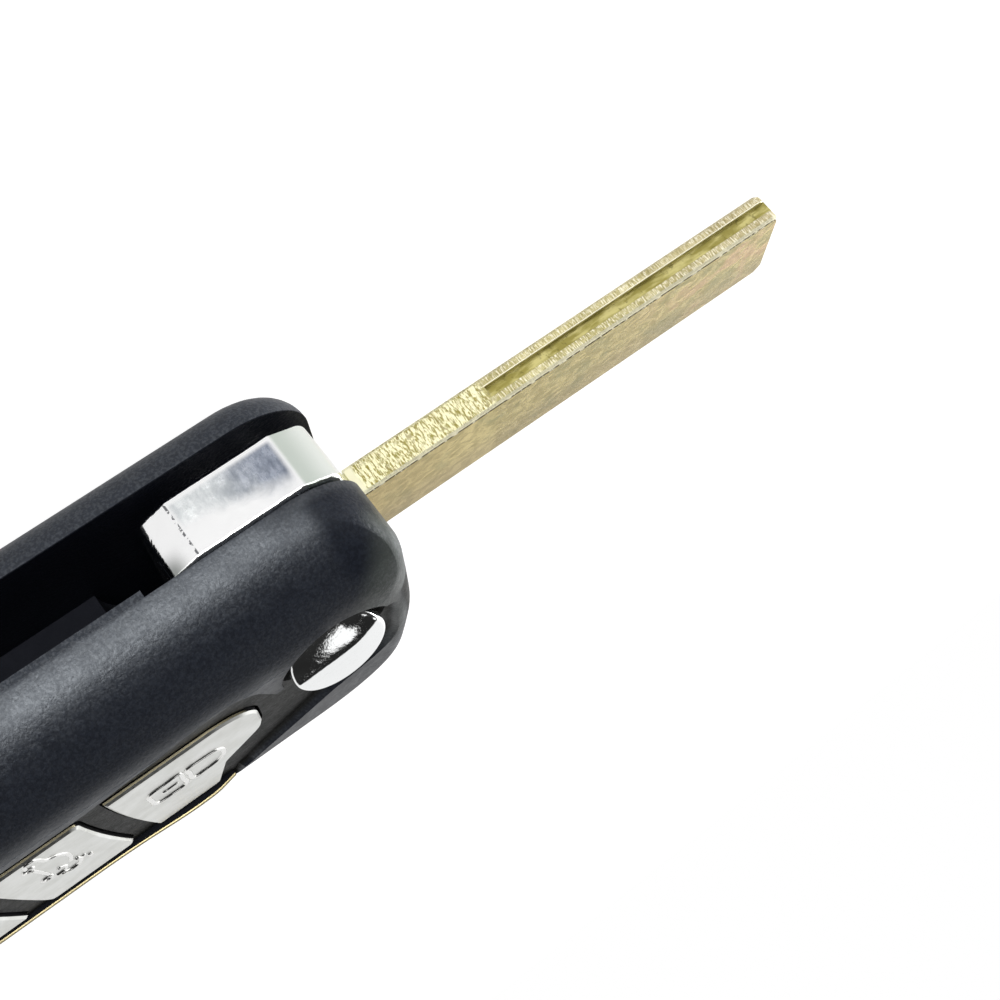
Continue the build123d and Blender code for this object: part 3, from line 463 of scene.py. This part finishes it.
def hub_chrome():
    """Bright plating over an uneven die casting, with a painted reflection of shade low on its near face,
    painted shading on its facet, painted shade at its heel, and pits along the bevel's edge.
    """
    n = Nodes("hub_chrome", (0.88, 0.89, 0.91, 1), 1.0, 0.14)
    wave = n.noise(0.42, 3.0, 0.6, distortion=0.5)
    streak = n.noise(1.3, 4.0, 0.7, n.stretch(1.0, 1.0, 0.5))
    sway = n.add(wave, -0.5)

    # Painted reflection of shade: the near face is painted duller low down, and darker towards the nose
    face = n.times(n.remap(n.y, HUB_FACE - 0.5, HUB_FACE - 0.1),
                   n.band(n.x, HUB_BEVEL + 0.2, HUB_FACET - 0.2, 0.3))
    low = n.add(n.remap(n.z, 9.3, 5.6), n.times(sway, 0.5), n.remap(n.x, -3.6, 3.6, -0.2, 0.3))
    reflected_shade_zone = n.times(face, n.remap(low, 0.15, 0.85), n.remap(n.z, 4.7, 5.2))
    deep = n.remap(n.add(n.x, n.times(sway, 4.0)), -3.2, 3.2)
    mottle = n.mix(n.remap(streak, 0.30, 0.70), n.mix(deep, *REFLECTED_SHADE_DARK), n.mix(deep, *REFLECTED_SHADE_LIGHT))
    colour = n.mix(reflected_shade_zone, CLEAR, mottle)

    # Painted shading: the facet darker at its edge, lighter further on
    facet = n.mix(n.remap(n.x, HUB_FACET + 0.4, HUB_FACET + 3.4), *FACET_SHADING)
    colour = n.mix(n.remap(n.x, HUB_FACET - 0.1, HUB_FACET + 0.3), colour, facet)
    # Painted shade on the heel's corner
    heel_shade = n.times(n.remap(n.x, HUB_BEVEL - 0.5, HUB_BEVEL - 2.1), n.remap(n.z, 7.2, 9.2))
    colour = n.mix(n.times(heel_shade, 0.75), colour, HEEL_SHADE)
    pits = n.times(n.band(n.x, HUB_BEVEL - 0.14, HUB_BEVEL + 0.04, 0.05),
                   n.remap(n.noise(3.2, 1.0), 0.46, 0.54), n.remap(n.y, HUB_FACE - 0.6, HUB_FACE - 0.2))
    colour = n.mix(n.times(pits, 0.85), colour, PIT)

    height = n.add(wave, n.times(streak, n.add(0.04, n.times(reflected_shade_zone, 0.12))))
    rough = n.add(n.remap(streak, 0.35, 0.7, 0.10, 0.18), n.times(reflected_shade_zone, 0.12))
    return n.set(Base_Color=colour, Roughness=rough, Normal=n.bump(height, 0.10))


def button_chrome():
    """Polished plating of the release button, faintly rippled."""
    n = Nodes("button_chrome", (0.90, 0.91, 0.91, 1), 1.0, 0.07)
    wave = n.noise(0.7, 3.0, 0.6)
    fine = n.noise(3.5, 3.0, 0.6)
    rough = n.remap(fine, 0.35, 0.7, 0.05, 0.12)
    return n.set(Roughness=rough, Normal=n.bump(n.add(wave, n.times(fine, 0.25)), 0.030))


def satin_silver():
    """Satin silver of the push buttons, black down their sides but for a painted warm reflection along the
    near one.
    """
    n = Nodes("satin_silver", srgb(214, 214, 209), 1.0, 0.3)
    cloud = n.noise(0.33, 4.0, 0.6)
    mist = n.noise(1.4, 3.0, 0.6)
    tone = n.add(n.times(cloud, 0.7), n.times(mist, 0.3))
    colour = n.mix(n.remap(tone, 0.38, 0.62), srgb(207, 208, 203), srgb(223, 224, 221))
    wall_top = KEY_RISE - KEY_CHAMFER
    side = n.remap(n.above_panel(), wall_top + 0.01, wall_top - 0.03)
    # Painted reflection: a cream line low on the near side of each button
    line = n.times(n.remap(n.side("Y"), 0.55, 0.75), n.remap(n.above_panel(), 0.06, 0.09))
    colour = n.mix(side, colour, n.mix(line, (0.01, 0.01, 0.012, 1), srgb(236, 226, 190)))
    rough = n.add(n.remap(mist, 0.3, 0.7, 0.28, 0.36), n.times(side, 0.2))
    normal = n.bump(n.add(n.noise(6.5, 2.0), n.times(mist, 0.5)), 0.004)
    return n.set(Base_Color=colour, Roughness=rough, Normal=normal)


def gold_trim():
    """Thin brass-coloured plating, darker along its outer side."""
    n = Nodes("gold_trim", srgb(196, 172, 122), 1.0, 0.35)
    cloud = n.noise(0.7, 3.0, vector=n.stretch(0.3, 1.0, 1.0))
    colour = n.mix(cloud, srgb(160, 146, 104), srgb(204, 192, 152))
    colour = n.mix(n.remap(n.y, TRIM_LINE + 0.14, TRIM_LINE + 0.04), colour, srgb(96, 86, 52))
    return n.set(Base_Color=colour, Roughness=n.remap(cloud, 0.3, 0.7, 0.3, 0.42),
                 Normal=n.bump(cloud, 0.01))


def steel(name, colour, roughness):
    """Plain turned or drawn metal."""
    n = Nodes(name, colour, 1.0, roughness)
    fine = n.noise(2.6, 3.0)
    tint = n.mix(fine, colour, tuple(0.8 * part for part in colour[:3]) + (1,))
    return n.set(Base_Color=tint, Roughness=n.remap(fine, 0.3, 0.7, roughness * 0.8, roughness * 1.25),
                 Normal=n.bump(fine, 0.006))


def rubber():
    """Soft matte rubber."""
    n = Nodes("rubber", (0.015, 0.015, 0.015, 1), 0.0, 0.8)
    cloud = n.noise(1.5)
    colour = n.mix(cloud, (0.011, 0.011, 0.012, 1), (0.021, 0.021, 0.022, 1))
    return n.set(Base_Color=colour, Normal=n.bump(n.noise(2.5), 0.01))


def icon_silver():
    """The buttons' silver, worn bright on the raised lines."""
    n = Nodes("icon_silver", srgb(224, 224, 220), 1.0, 0.16)
    cloud = n.noise(1.2, 3.0)
    colour = n.mix(cloud, srgb(216, 216, 212), srgb(234, 234, 232))
    return n.set(Base_Color=colour, Normal=n.bump(n.noise(2.2, 3.0), 0.02),
                 Roughness=n.remap(cloud, 0.3, 0.7, 0.12, 0.22))


def dress_nodes():
    """Give each CAD piece the material of its record slot."""
    made = {
        "black_plastic": black_plastic(),
        "inner_plastic": inner_plastic(),
        "brass": brass(),
        "hub_chrome": hub_chrome(),
        "button_chrome": button_chrome(),
        "satin_silver": satin_silver(),
        "gold_trim": gold_trim(),
        "steel": steel("steel", (0.45, 0.46, 0.48, 1), 0.35),
        "spring_steel": steel("spring_steel", (0.3, 0.31, 0.33, 1), 0.4),
        "clip_metal": steel("clip_metal", (0.66, 0.64, 0.58, 1), 0.3),
        "rubber": rubber(),
    }
    for part in frame["record"]["subparts"]:
        node = frame["nodes"][part["node"]]
        node.data.materials.clear()
        node.data.materials.append(made[part["material_slot"]])
    return made


# Building pieces

def in_frame(x, y, z):
    """Place in metres of a point given in millimetres from the flip axis."""
    return Vector(((x + PIVOT[0]) * MM, (y + PIVOT[1]) * MM, z * MM))


def on_panel(x, y, rise):
    """Place in metres of a point at a height over the sloping floor of the keypad recess."""
    turned_y = y * math.cos(PANEL_TILT) - rise * math.sin(PANEL_TILT)
    turned_z = y * math.sin(PANEL_TILT) + rise * math.cos(PANEL_TILT)
    return in_frame(x, turned_y, PANEL + turned_z)


def bridge(mesh, row, following, closed):
    """Faces between two rows of vertices."""
    count = len(row)
    for index in range(count if closed else count - 1):
        after = (index + 1) % count
        mesh.faces.new((row[index], row[after], following[after], following[index]))


def as_piece(mesh, name, body, material, crisp=CRISP):
    """Turn a gathered mesh into a smooth piece that moves with a body; without crisp, all of it is smooth."""
    bmesh.ops.recalc_face_normals(mesh, faces=mesh.faces)
    data = bpy.data.meshes.new(name)
    mesh.to_mesh(data)
    mesh.free()
    for face in data.polygons:
        face.use_smooth = True
    if crisp:
        data.set_sharp_from_angle(angle=crisp)
    data.materials.append(material)
    piece = bpy.data.objects.new(name, data)
    bpy.context.scene.collection.objects.link(piece)
    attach(piece, body)
    return piece


# Raised icons on the buttons, drawn on their sloping tops

# Beads: how deep they sink in, the sides of their round and the angles that round off an open end
BEAD_SINK = 0.02
BEAD_SIDES = 8
BEAD_CAP_ANGLES = (15, 40, 65)

# Length of a smooth line's pieces
STROKE_STEP = 0.12

# The car's wheels: corners, and half their size along and across the key
WHEEL_SIDES = 8
WHEEL_HALF_X = 0.42
WHEEL_HALF_Y = 0.5


def stroke(corners, closed=False, half=0.26, high=0.17):
    """A drawn line: its corners, whether it closes, half its width and its height."""
    return corners, closed, half, high


def padlock_body(x):
    """Body of a padlock with its keyhole; x is its lower edge, and up is towards the nose."""
    top = x + 2.9
    return [
        stroke([(x + 0.5, -6.2), (x, -6.9), (x - 0.05, -8.8), (x, -10.6), (x + 0.5, -11.2),
                (x + 1.5, -11.25), (top, -11.1), (top + 0.05, -8.8), (top, -6.2), (x + 1.6, -6.15)], True),
        stroke([(x + 1.25, -8.8), (x + 1.3, -8.8)], half=0.34, high=0.15),
        stroke([(x + 1.5, -8.75), (x + 2.3, -8.7)], half=0.2, high=0.13),
    ]


def wheel(x, y):
    """A small ring, a little longer across the key than along it."""
    turns = [2 * math.pi * side / WHEEL_SIDES for side in range(WHEEL_SIDES)]
    ring = [(x + WHEEL_HALF_X * math.cos(turn), y + WHEEL_HALF_Y * math.sin(turn)) for turn in turns]
    return stroke(ring, True, half=0.18, high=0.15)


def icon_drawings():
    """Closed padlock, car with an open boot, and open padlock, each with the body that it rides."""
    closed_padlock = padlock_body(-18.15) + [
        stroke([(-14.5, -6.4), (-13.2, -6.35), (-12.1, -6.6), (-11.45, -7.6), (-11.35, -8.8),
                (-11.5, -9.9), (-12.2, -10.8), (-13.3, -11.0), (-14.5, -10.8), (-14.55, -8.6)], True),
    ]
    car = [
        stroke([(-28.0, -4.3), (-27.85, -6.5), (-27.75, -9.0)], half=0.2, high=0.13),
        stroke([(-28.1, -2.2), (-27.9, -1.0), (-27.3, -0.95), (-26.95, -2.1), (-26.75, -3.6),
                (-26.0, -4.6), (-25.55, -6.0), (-25.5, -7.8), (-25.75, -9.3)], half=0.22, high=0.16),
        stroke([(-26.9, -9.4), (-26.45, -10.2), (-26.7, -11.2), (-27.4, -11.3)], half=0.2, high=0.16),
        stroke([(-25.45, -10.3), (-25.3, -11.3), (-25.7, -12.4), (-26.5, -12.6), (-27.1, -12.0)],
               half=0.26, high=0.2),
        stroke([(-24.95, -10.8), (-24.93, -11.1)], half=0.2, high=0.14),
        stroke([(-24.6, -11.9), (-24.62, -12.6)], half=0.26, high=0.16),
        wheel(-28.1, -3.2),
        wheel(-28.1, -10.1),
    ]
    open_padlock = padlock_body(-42.6) + [
        stroke([(-39.3, -10.8), (-37.9, -11.0), (-36.7, -10.7), (-36.0, -9.8), (-35.85, -8.8),
                (-36.0, -7.7), (-36.6, -6.7), (-37.6, -6.4)]),
    ]
    return (("lock_icon", "lock_key", closed_padlock), ("boot_icon", "light_key", car),
            ("unlock_icon", "unlock_key", open_padlock))


def smooth_line(corners, closed):
    """Points along a smooth line through the given corners."""
    count = len(corners)
    points = []
    for index in range(count if closed else count - 1):
        if closed:
            a, b, c, d = (Vector(corners[(index + offset) % count]) for offset in (-1, 0, 1, 2))
        else:
            picks = (max(index - 1, 0), index, index + 1, min(index + 2, count - 1))
            a, b, c, d = (Vector(corners[pick]) for pick in picks)
        parts = max(2, int((c - b).length / STROKE_STEP))
        for part in range(parts):
            t = part / parts
            points.append(0.5 * (2 * b + (c - a) * t + (2 * a - 5 * b + 4 * c - d) * t ** 2
                                 + (3 * b - a - 3 * c + d) * t ** 3))
    if not closed:
        points.append(Vector(corners[-1]))
    return points


def bead_stations(points, closed, half):
    """Places along a bead, each with its direction and its size there; open ends are rounded off."""
    count = len(points)
    stations = []
    for index, point in enumerate(points):
        before = points[index - 1] if closed or index else point
        after = points[(index + 1) % count] if closed or index < count - 1 else point
        stations.append((point, (after - before).normalized(), 1.0))
    if closed:
        return stations
    first, along, _ = stations[0]
    last, end_along, _ = stations[-1]
    caps = [(math.sin(math.radians(angle)), math.cos(math.radians(angle))) for angle in BEAD_CAP_ANGLES]
    start = [(first - along * half * cos, along, sin) for sin, cos in caps]
    finish = [(last + end_along * half * cos, end_along, sin) for sin, cos in reversed(caps)]
    return start + stations + finish


def add_bead(mesh, corners, closed, half, high):
    """Raised rounded line on a button's top."""
    rows = []
    for point, along, size in bead_stations(smooth_line(corners, closed), closed, half):
        side = Vector((-along.y, along.x))
        row = []
        for step in range(BEAD_SIDES + 1):
            angle = math.pi * step / BEAD_SIDES
            place = point + side * half * size * math.cos(angle)
            rise = high * size * math.sin(angle) - BEAD_SINK
            row.append(mesh.verts.new(on_panel(place.x, place.y, KEY_RISE + rise)))
        rows.append(row)
    for row, following in zip(rows, rows[1:]):
        bridge(mesh, row, following, False)
    if closed:
        bridge(mesh, rows[-1], rows[0], False)
    else:
        mesh.faces.new(rows[0])
        mesh.faces.new(list(reversed(rows[-1])))


def make_icons():
    """One piece of raised lines for each push button."""
    silver = icon_silver()
    for name, body, strokes in icon_drawings():
        mesh = bmesh.new()
        for values in strokes:
            add_bead(mesh, *values)
        as_piece(mesh, name, body, silver, crisp=None)


# Release button with its thumb facet, and the trim beside the keypad

def release_top(x, y):
    """Height of the button's top: the far half rises gently, the near half falls away from a crease."""
    crease = CREASE + CREASE_SLANT * x + CREASE_BEND * max(x - 1, 0) ** 1.5
    fall = max(y - crease, 0)
    from_far_rim = min(y, crease) + CAP_RADIUS
    far = CAP_TOP - FAR_CROWN * x ** 2 - FAR_SLOPE * from_far_rim - FAR_HOLLOW * max(-y - 2, 0) ** 2
    return far - THUMB_SLOPE * fall - THUMB_HOLLOW * fall ** 2 - THUMB_CROWN * x ** 2 * min(fall, 1)


def add_ring(mesh, radius, height):
    """Ring of vertices round the flip axis, at a height or at the height that a function gives."""
    row = []
    for turn in range(CAP_TURNS):
        angle = 2 * math.pi * turn / CAP_TURNS
        x, y = radius * math.cos(angle), radius * math.sin(angle)
        row.append(mesh.verts.new(in_frame(x, y, height(x, y) if callable(height) else height)))
    return row


def add_lug(mesh, way):
    """Guide lug on the flange's rim."""
    middle = (way * (LUG_INNER + LUG_OUTER) / 2, 0, (FLANGE_LOW + FLANGE_TOP) / 2)
    size = (LUG_OUTER - LUG_INNER, LUG_WIDTH, FLANGE_TOP - FLANGE_LOW)
    for vert in bmesh.ops.create_cube(mesh, size=1.0)["verts"]:
        vert.co = in_frame(*(centre + part * length for centre, part, length in zip(middle, vert.co, size)))


def make_release(material):
    """The release button: shaft, flange and lugs as in the solid, under a cap with a thumb facet."""
    mesh = bmesh.new()
    outline = ((SHAFT_RADIUS, SHAFT_FOOT), (SHAFT_RADIUS, FLANGE_LOW), (FLANGE_RADIUS, FLANGE_LOW),
               (FLANGE_RADIUS, FLANGE_TOP), (CAP_RADIUS, FLANGE_TOP), (CAP_RADIUS, CAP_FOOT))
    rows = [add_ring(mesh, radius, height) for radius, height in outline]
    for step in range(CAP_ROUND_STEPS + 1):
        angle = math.pi / 2 * step / CAP_ROUND_STEPS
        radius = CAP_RADIUS - CAP_ROUND * (1 - math.cos(angle))
        drop = CAP_ROUND * (1 - math.sin(angle))
        rows.append(add_ring(mesh, radius, lambda x, y, drop=drop: release_top(x, y) - drop))
    rim = CAP_RADIUS - CAP_ROUND
    for step in range(1, CAP_TOP_STEPS):
        rows.append(add_ring(mesh, rim * (1 - step / CAP_TOP_STEPS), release_top))
    for row, following in zip(rows, rows[1:]):
        bridge(mesh, row, following, True)
    mesh.faces.new(list(reversed(rows[0])))
    mesh.faces.new(rows[-1])
    for way in (-1, 1):
        add_lug(mesh, way)
    piece = as_piece(mesh, "release_cap", "release", material)
    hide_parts("release_button")


def trim_rise(x):
    """Height of the trim above the keypad's floor; it bows a little beside the first button."""
    swell = TRIM_SWELL * math.exp(-((x - TRIM_SWELL_PLACE) / TRIM_SWELL_REACH) ** 2)
    taper = min((TRIM_START - x) / TRIM_TAPER, 1)
    return TRIM_BASE + (TRIM_LIFT + swell) * math.sin(math.pi / 2 * taper)


def make_rail(name, material, low, high, half):
    """A rail along the keypad's far side, between two depths below the trim's height; half its width."""
    mesh = bmesh.new()
    rows = []
    for index in range(TRIM_STATIONS + 1):
        x = TRIM_START - TRIM_LENGTH * index / TRIM_STATIONS
        top = trim_rise(x) - high
        foot = trim_rise(x) - low
        far_edge = [(inset - half, top - drop) for inset, drop in RAIL_EDGE]
        near_edge = [(half - inset, top - drop) for inset, drop in reversed(RAIL_EDGE)]
        corners = [(-half, foot)] + far_edge + near_edge + [(half, foot)]
        rows.append([mesh.verts.new(on_panel(x, TRIM_LINE + side, height)) for side, height in corners])
    for row, following in zip(rows, rows[1:]):
        bridge(mesh, row, following, True)
    mesh.faces.new(rows[0])
    mesh.faces.new(list(reversed(rows[-1])))
    return as_piece(mesh, name, "shell", material)


def make_trim(made):
    """Black rail with a thin gilt line along its top."""
    make_rail("trim_rail", made["inner_plastic"], low=0.85, high=0.14, half=0.22)
    line = make_rail("trim_line", made["gold_trim"], low=0.18, high=0.0, half=0.25)
    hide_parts("trim_strip")


# Camera, light and floor

# Camera from a fit to the blade and the slot's rims: its place, lens and sensor in millimetres, then
# its right, down and forward directions; it sees nothing nearer than CAMERA_NEAR metres
CAMERA_PLACE = (-6.437, 119.030, 49.356)
CAMERA_LENS = 54.0
CAMERA_SENSOR = 36.0
CAMERA_NEAR = 0.005
CAMERA_RIGHT = (0.795999, 0.033571, 0.604366)
CAMERA_DOWN = (-0.551739, -0.370390, 0.747259)
CAMERA_FORWARD = (0.248937, -0.928270, -0.276308)

# Soft lamps, in metres and watts: place, size and power, and where both are aimed
LAMPS = {
    "key_lamp": ((-0.08, 0.42, 0.09), (0.34, 0.19), 1.0),
    "end_lamp": ((0.45, -0.04, 0.05), (0.16, 0.08), 1.8),
}
LAMP_TARGET = (0, 0, 0.01)

# Floor: half its size in metres, its colour, and how white it shows to the camera and in mirrors
FLOOR_REACH = 1.5
FLOOR_COLOUR = (0.42, 0.42, 0.42, 1)
FLOOR_SEEN = 0.94
FLOOR_MIRRORED = 0.68


def matched_camera():
    """The camera at the photograph's angle."""
    right, down, forward = (Vector(way) for way in (CAMERA_RIGHT, CAMERA_DOWN, CAMERA_FORWARD))
    data = bpy.data.cameras.new("camera")
    data.lens = CAMERA_LENS
    data.sensor_width = CAMERA_SENSOR
    data.clip_start = CAMERA_NEAR
    camera = bpy.data.objects.new("camera", data)
    bpy.context.scene.collection.objects.link(camera)
    turn = Matrix((right, -down, -forward)).transposed()
    camera.matrix_world = Matrix.Translation(Vector(CAMERA_PLACE) * MM) @ turn.to_4x4()
    bpy.context.scene.camera = camera


def add_lamps():
    """Soft rectangular lamps aimed at the key."""
    for name, (place, size, power) in LAMPS.items():
        data = bpy.data.lights.new(name, "AREA")
        data.shape = "RECTANGLE"
        data.size, data.size_y = size
        data.energy = power
        lamp = bpy.data.objects.new(name, data)
        bpy.context.scene.collection.objects.link(lamp)
        aim = Vector(LAMP_TARGET) - Vector(place)
        lamp.rotation_euler = aim.to_track_quat("-Z", "Y").to_euler()
        lamp.location = place


class Sky:
    """The room's light by direction, built from smooth steps and round soft panels."""

    def __init__(self, tree):
        self.tree = tree
        self.way = tree.nodes.new("ShaderNodeTexCoord").outputs["Generated"]
        split = tree.nodes.new("ShaderNodeSeparateXYZ")
        tree.links.new(self.way, split.inputs[0])
        self.end, self.front, self.height = split.outputs

    def step(self, value, low, high, to_low, to_high):
        node = self.tree.nodes.new("ShaderNodeMapRange")
        node.interpolation_type = "SMOOTHSTEP"
        self.tree.links.new(value, node.inputs["Value"])
        for key, item in (("From Min", low), ("From Max", high), ("To Min", to_low), ("To Max", to_high)):
            node.inputs[key].default_value = item
        return node.outputs["Result"]

    def panel(self, way, reach, soft, level):
        """Round soft panel in one direction; reach and soft are in degrees."""
        node = self.tree.nodes.new("ShaderNodeVectorMath")
        node.operation = "DOT_PRODUCT"
        self.tree.links.new(self.way, node.inputs[0])
        node.inputs[1].default_value = Vector(way).normalized()
        outer = math.cos(math.radians(reach + soft))
        inner = math.cos(math.radians(reach))
        return self.step(node.outputs["Value"], outer, inner, 0.0, level)

    def combine(self, operation, first, second):
        node = self.tree.nodes.new("ShaderNodeMath")
        node.operation = operation
        self.tree.links.new(first, node.inputs[0])
        self.tree.links.new(second, node.inputs[1])
        return node.outputs[0]

    def add(self, first, second):
        return self.combine("ADD", first, second)

    def times(self, first, second):
        return self.combine("MULTIPLY", first, second)


def sky_level(sky):
    """White low down and dark above, brighter on the slot's side and beyond the tip, with two panels."""
    side = sky.step(sky.front, -0.3, 0.6, 0.95, 2.0)
    side = sky.add(side, sky.step(sky.end, 0.1, 0.8, 0.0, 0.9))
    height = sky.add(sky.height, sky.step(sky.front, -0.6, 0.9, 0.0, 0.45))
    level = sky.times(side, sky.step(height, 0.52, 0.72, 1.0, 0.02))
    level = sky.add(level, sky.panel((0.22, -0.20, 0.95), 13, 3, 1.1))
    return sky.add(level, sky.panel((0.55, -0.25, 0.80), 8, 6, 0.5))


def studio():
    """Surroundings that light the key by direction and show plain white to the camera, and the lamps."""
    scene = bpy.context.scene
    scene.view_settings.view_transform = "Standard"
    world = bpy.data.worlds.new("world")
    scene.world = world
    world.use_nodes = True
    tree = world.node_tree
    nodes = tree.nodes
    links = tree.links
    nodes.clear()
    out = nodes.new("ShaderNodeOutputWorld")
    light = nodes.new("ShaderNodeBackground")
    seen = nodes.new("ShaderNodeBackground")
    swap = nodes.new("ShaderNodeMixShader")
    path = nodes.new("ShaderNodeLightPath")
    for background in (light, seen):
        background.inputs["Color"].default_value = (1, 1, 1, 1)
    seen.inputs["Strength"].default_value = 1.0
    links.new(sky_level(Sky(tree)), light.inputs["Strength"])
    links.new(path.outputs["Is Camera Ray"], swap.inputs[0])
    links.new(light.outputs[0], swap.inputs[1])
    links.new(seen.outputs[0], swap.inputs[2])
    links.new(swap.outputs[0], out.inputs["Surface"])
    add_lamps()


def floor():
    """Plain pale floor that keeps a faint shadow and reads as white."""
    mesh = bpy.data.meshes.new("floor")
    corners = [(x * FLOOR_REACH, y * FLOOR_REACH, 0) for x, y in ((-1, -1), (1, -1), (1, 1), (-1, 1))]
    mesh.from_pydata(corners, [], [(0, 1, 2, 3)])
    piece = bpy.data.objects.new("floor", mesh)
    bpy.context.scene.collection.objects.link(piece)
    material = bpy.data.materials.new("floor")
    material.use_nodes = True
    nodes = material.node_tree.nodes
    links = material.node_tree.links
    nodes.clear()
    out = nodes.new("ShaderNodeOutputMaterial")
    diffuse = nodes.new("ShaderNodeBsdfDiffuse")
    diffuse.inputs["Color"].default_value = FLOOR_COLOUR
    glow = nodes.new("ShaderNodeEmission")
    path = nodes.new("ShaderNodeLightPath")
    seen = nodes.new("ShaderNodeMath")
    seen.operation = "MULTIPLY"
    seen.inputs[1].default_value = FLOOR_SEEN
    mirrored = nodes.new("ShaderNodeMath")
    mirrored.operation = "MULTIPLY_ADD"
    mirrored.inputs[1].default_value = FLOOR_MIRRORED
    total = nodes.new("ShaderNodeAddShader")
    links.new(path.outputs["Is Camera Ray"], seen.inputs[0])
    links.new(path.outputs["Is Glossy Ray"], mirrored.inputs[0])
    links.new(seen.outputs[0], mirrored.inputs[2])
    links.new(mirrored.outputs[0], glow.inputs["Strength"])
    links.new(diffuse.outputs[0], total.inputs[0])
    links.new(glow.outputs[0], total.inputs[1])
    links.new(total.outputs[0], out.inputs["Surface"])
    mesh.materials.append(material)


matched_camera()
made = dress_nodes()
make_icons()
make_release(made["button_chrome"])
make_trim(made)
studio()
floor()
